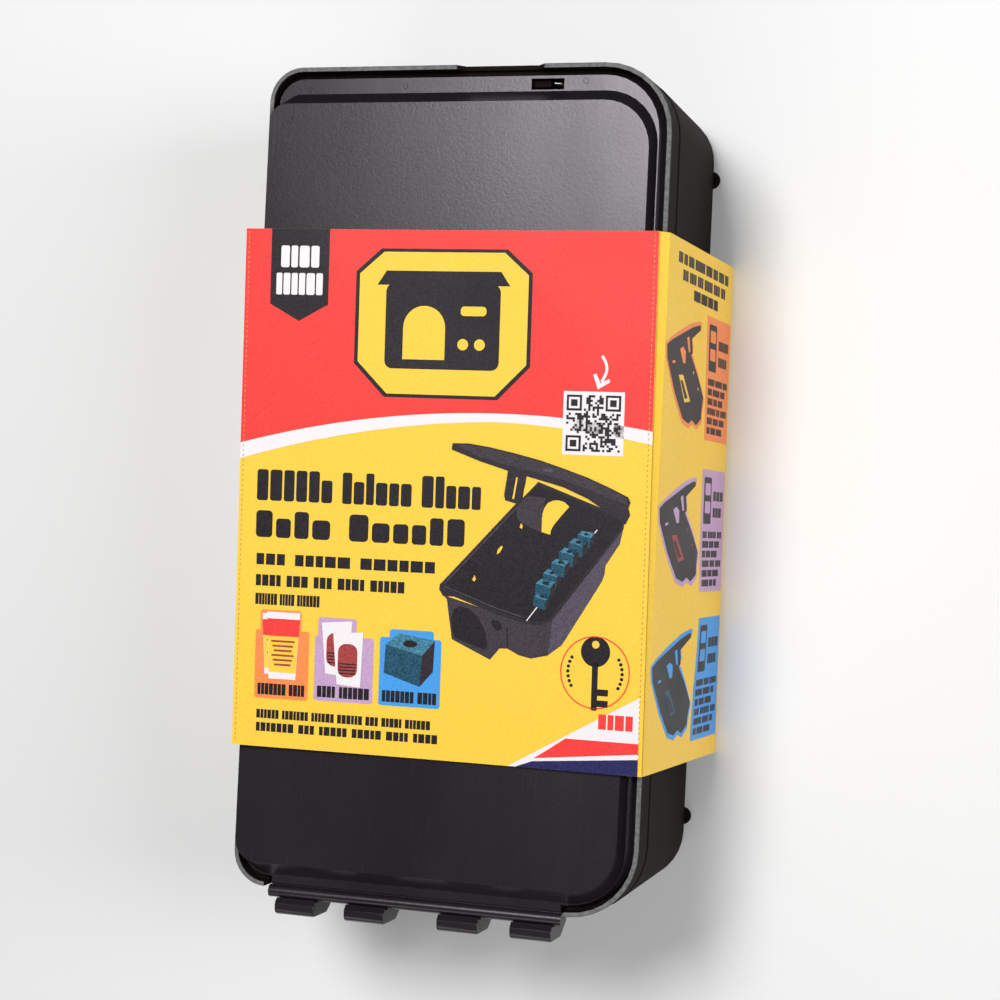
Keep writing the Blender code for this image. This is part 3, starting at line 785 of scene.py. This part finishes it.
def print_key_icon(front):
    """A key in a ring, between two arcs of dots."""
    icon = Print("print_key_icon", front)
    cx, cy = KEY_ACROSS, KEY_DOWN
    icon.ring(cx, cy, 11.0, 0.4, "red")
    icon.add(circle(cx, cy - 6.4, 4.7, 28), "black")
    icon.add(circle(cx, cy - 8.6, 1.2, 16), "yellow", 1)
    icon.add(rounded(cx - 0.95, cx + 0.95, cy - 3.0, cy + 11.6, 0.4), "black")
    for y in (5.0, 8.4):
        icon.add(block(cx + 0.5, cx + 4.4, cy + y, cy + y + 2.0), "black", 1)
    for start in (150, -30):
        for i in range(7):
            angle = math.radians(start + i * 10)
            x = cx + 8.7 * math.cos(angle)
            y = cy + 8.7 * math.sin(angle)
            icon.add(circle(x, y, 0.55, 10), "black")
    icon.build()


def print_corner_flash(front):
    """Plain diagonal stripes across the lower right corner."""
    flash = Print("print_corner_flash", front)
    right, foot = PANEL_WIDTH, SLEEVE_LENGTH
    flash.add([(right, 142.5), (right, foot), (92.0, foot)], "white")
    flash.add([(right, 156.6), (right, 159.8), (100.6, 163.4), (105.4, 160.2), (110.6, 156.6)],
              "red", 1)
    flash.add([(right, 161.4), (right, foot), (94.5, foot), (100.0, 164.4)], "navy", 1)
    greek_line(flash, 121.0, 132.0, 148.4, 4.6, 1, "red", 1, 3)
    flash.build()


# The outline of an open box, with its lid up and its end wall towards the viewer
SIDE_BOX = [(0.0, 9.5), (5.0, 7.6), (17.5, 4.3), (28.0, 1.6), (36.5, 0.0), (38.8, 0.2), (38.6, 1.4),
            (28.0, 5.2), (29.6, 9.6), (27.6, 10.4), (35.5, 15.8), (44.0, 22.8), (42.2, 27.4),
            (42.0, 30.0), (36.0, 32.4), (31.2, 31.0), (27.2, 32.4), (20.4, 31.2), (10.6, 23.6),
            (1.0, 13.8)]


def print_side(surface):
    """Placeholder text, and three open boxes with a coloured tile of text beside each."""
    side = Print("print_bait_side", surface)
    for i, (left, right) in enumerate(((14, 80), (20, 76), (34, 66))):
        greek_line(side, left, right, 4.0 + 5.0 * i, 3.4, 8 - 2 * i, seed=31 + i)
    for i, (top, bottom, ink, fill) in enumerate(((20.0, 61.0, "orange", "yellow"),
                                                  (70.5, 111.0, "purple", "brick"),
                                                  (119.5, 160.0, "blue", "teal"))):
        print_side_box(side, top + 4.5, ink, fill)
        side.add(block(52.5, 85.5, top, bottom), ink)
        side.add(rounded(55.5, 66.0, top + 2.5, top + 18.0, 0.8), "black", 1)
        side.add(rounded(57.0, 64.5, top + 4.5, top + 8.5, 0.8), ink, 2)
        side.add(rounded(57.0, 64.5, top + 10.5, top + 14.5, 0.8), ink, 2)
        greek_line(side, 69.0, 83.0, top + 7.0, 3.2, 1, layer=1, seed=41 + i)
        greek_line(side, 69.0, 81.0, top + 12.5, 3.2, 1, layer=1, seed=45 + i)
        for line in range(6):
            greek_line(side, 55.5, 83.0 - 3 * (line % 3), top + 20.5 + 3.2 * line, 2.2, 3, layer=1,
                       seed=50 + 7 * i + line)
    side.build()


def print_side_box(side, top, ink, fill):
    """An open box seen from above its end, with a coloured edge round it and bait inside."""
    outline = moved(SIDE_BOX, SIDE_BOX_LEFT, top)
    side.add(grow(outline, 1.6), ink)
    side.add(outline, "black", 1)

    def draw(points, colour, layer=2):
        side.add(moved(points, SIDE_BOX_LEFT, top), colour, layer)

    draw([(14.5, 9.6), (17.8, 8.6), (21.0, 9.8), (21.2, 13.6), (18.6, 13.8)], ink)
    draw([(22.0, 5.4), (24.6, 4.8), (26.4, 9.6), (24.6, 9.8)], ink)
    draw([(6.4, 14.0), (9.4, 13.6), (9.6, 14.4), (6.6, 14.8)], ink)
    draw([(14.0, 17.8), (19.0, 17.4), (28.2, 25.2), (21.8, 26.0)], fill)
    draw([(16.0, 19.4), (18.6, 19.2), (25.0, 24.4), (21.8, 24.8)], "smoke", 3)
    for across, down in ((31.0, 15.8), (37.0, 20.6)):
        draw(circle(across, down, 0.5, 8), fill)


def print_tunnel_side(surface):
    """Columns of placeholder text and two tinted panels on the side that faces away."""
    side = Print("print_tunnel_side", surface, 2)
    left, right = 8.0, 80.0
    greek_line(side, 12.0, 76.0, 12.0, 7.0, 3, seed=71, caps=False)
    for panel, ink in enumerate(("red", "blue")):
        top = 28.0 + 62.0 * panel
        side.add(block(left, right, top, top + 9.0), ink)
        side.add(block(left, right, top + 9.6, top + 54.0), "white")
        greek_line(side, 12.0, 60.0, top + 2.8, 3.6, 4, "white", 3, 72 + panel)
        for line in range(8):
            greek_line(side, 13.0, 75.0 - 5.0 * (line % 3), top + 14.0 + 4.6 * line, 2.4, 6,
                       layer=3, seed=75 + 8 * panel + line)
    greek_line(side, 12.0, 70.0, 154.0, 3.0, 6, seed=95)
    side.build()


def make_pin_marks():
    """The small raised rings that the mould's ejector pins leave on the lid.

    Each is turned from a profile of radius and height in millimetres. Its x and y are in the
    frame, and its z is counted from the tray's rim.
    """
    profile = [(0.0, 0.02), (0.7, 0.02), (0.8, 0.08), (1.0, 0.08), (1.1, -0.1), (0.0, -0.1)]
    steps = 20
    angles = [math.tau * i / steps for i in range(steps)]
    bm = bmesh.new()
    for x, y, z in ((54.2, -125.7, -2.5), (21.5, -126.5, -2.5), (-38.4, -127.2, -2.5),
                    (58.6, -115.0, 2.0)):
        rings = []
        for radius, height in profile:
            level = RIM_Z + (z + height) * MM
            rings.append([bm.verts.new((x * MM + radius * MM * math.cos(a),
                                        y * MM + radius * MM * math.sin(a), level))
                          for a in angles])
        for lower, upper in zip(rings, rings[1:]):
            for i in range(steps):
                after = (i + 1) % steps
                bm.faces.new((lower[i], lower[after], upper[after], upper[i]))
    bmesh.ops.remove_doubles(bm, verts=bm.verts, dist=0.000001)
    bmesh.ops.recalc_face_normals(bm, faces=bm.faces)
    mesh = bpy.data.meshes.new("pin_marks")
    bm.to_mesh(mesh)
    bm.free()
    mesh.materials.append(BLACK_PLASTIC)
    marks = bpy.data.objects.new("pin_marks", mesh)
    bpy.context.scene.collection.objects.link(marks)
    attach(marks, "lid_body")


def print_perforation(front):
    """The row of short cuts along each fold where the sleeve tears open."""
    cuts = Print("print_perforation", front, 1)
    for edge in (-0.25, PANEL_WIDTH - 0.1):
        down = 1.0
        while down < SLEEVE_LENGTH - 2.0:
            cuts.add(block(edge, edge + CUT_WIDTH, down, down + CUT_LENGTH), "tan")
            down += CUT_PITCH
    cuts.build()


# --- Stage -----------------------------------------------------------------------------------

def make_floor():
    """A pale floor, a tenth of a millimetre under the sleeve."""
    material = new_material("pale_floor", (0.86, 0.86, 0.86), 0.7)[0]
    mesh = bpy.data.meshes.new("floor")
    reach = 6.0
    level = -0.0001
    corners = [(-reach, -reach, level), (reach, -reach, level), (reach, reach, level),
               (-reach, reach, level)]
    mesh.from_pydata(corners, [], [(0, 1, 2, 3)])
    mesh.materials.append(material)
    floor = bpy.data.objects.new("floor", mesh)
    bpy.context.scene.collection.objects.link(floor)


def make_area_light(name, location, target, size, power):
    """A white softbox of the given width and height in metres and power in watts."""
    data = bpy.data.lights.new(name, "AREA")
    data.shape = "RECTANGLE"
    data.size, data.size_y = size
    data.energy = power
    light = bpy.data.objects.new(name, data)
    light.location = location
    light.rotation_euler = (Vector(target) - Vector(location)).to_track_quat("-Z", "Y").to_euler()
    bpy.context.scene.collection.objects.link(light)


def make_lights():
    """A small key light over the free end, whose sheen crosses the lid, and two wide fills."""
    make_area_light("key_softbox", (0.13, -0.40, 1.25), (0, -0.05, 0.08), (0.36, 0.4), 12)
    make_area_light("side_fill", (-1.3, -0.1, 0.9), (0, 0, 0.05), (0.5, 1.2), 11.5)
    make_area_light("end_fill", (0.2, 1.4, 1.1), (0, 0, 0.05), (1.2, 0.5), 6)
    world = bpy.data.worlds.new("studio")
    world.use_nodes = True
    world.node_tree.nodes["Background"].inputs["Color"].default_value = (1, 1, 1, 1)
    world.node_tree.nodes["Background"].inputs["Strength"].default_value = 0.1
    bpy.context.scene.world = world
    bpy.context.scene.view_settings.view_transform = "Standard"


def make_camera():
    """Above the box on its bait side, with the free end at the top of the picture."""
    data = bpy.data.cameras.new("camera")
    data.sensor_width = 36.0
    data.lens = CAMERA_LENS
    camera = bpy.data.objects.new("camera", data)
    back = Vector(CAMERA_BACK).normalized()
    up = back.cross(Vector(CAMERA_RIGHT).normalized()).normalized()
    right = up.cross(back)
    turn = Matrix((right, up, back)).transposed().to_4x4()
    camera.matrix_world = Matrix.Translation(CAMERA_PLACE) @ turn
    bpy.context.scene.collection.objects.link(camera)
    bpy.context.scene.camera = camera


finish_plastic()
finish_card("sleeve_front", lambda polygon: polygon.normal.z < 0)
finish_card("sleeve_wrap", inside_wrap)

front_panel = Surface("sleeve_front", "sleeve_front_body", PANEL_WIDTH, (0, 0, -1), FOLD_LAP)
print_fields(front_panel)
print_pennant(front_panel)
print_emblem(front_panel)
print_code(front_panel)
print_headings(front_panel)
print_tiles(front_panel)
print_station(front_panel)
print_key_icon(front_panel)
print_corner_flash(front_panel)
print_perforation(front_panel)
print_side(Surface("sleeve_wrap", "sleeve_wrap_body", SIDE_WIDTH, (1, 0, 0)))
print_tunnel_side(Surface("sleeve_wrap", "sleeve_wrap_body", SIDE_WIDTH, (-1, 0, 0)))
make_pin_marks()

make_floor()
make_lights()
make_camera()
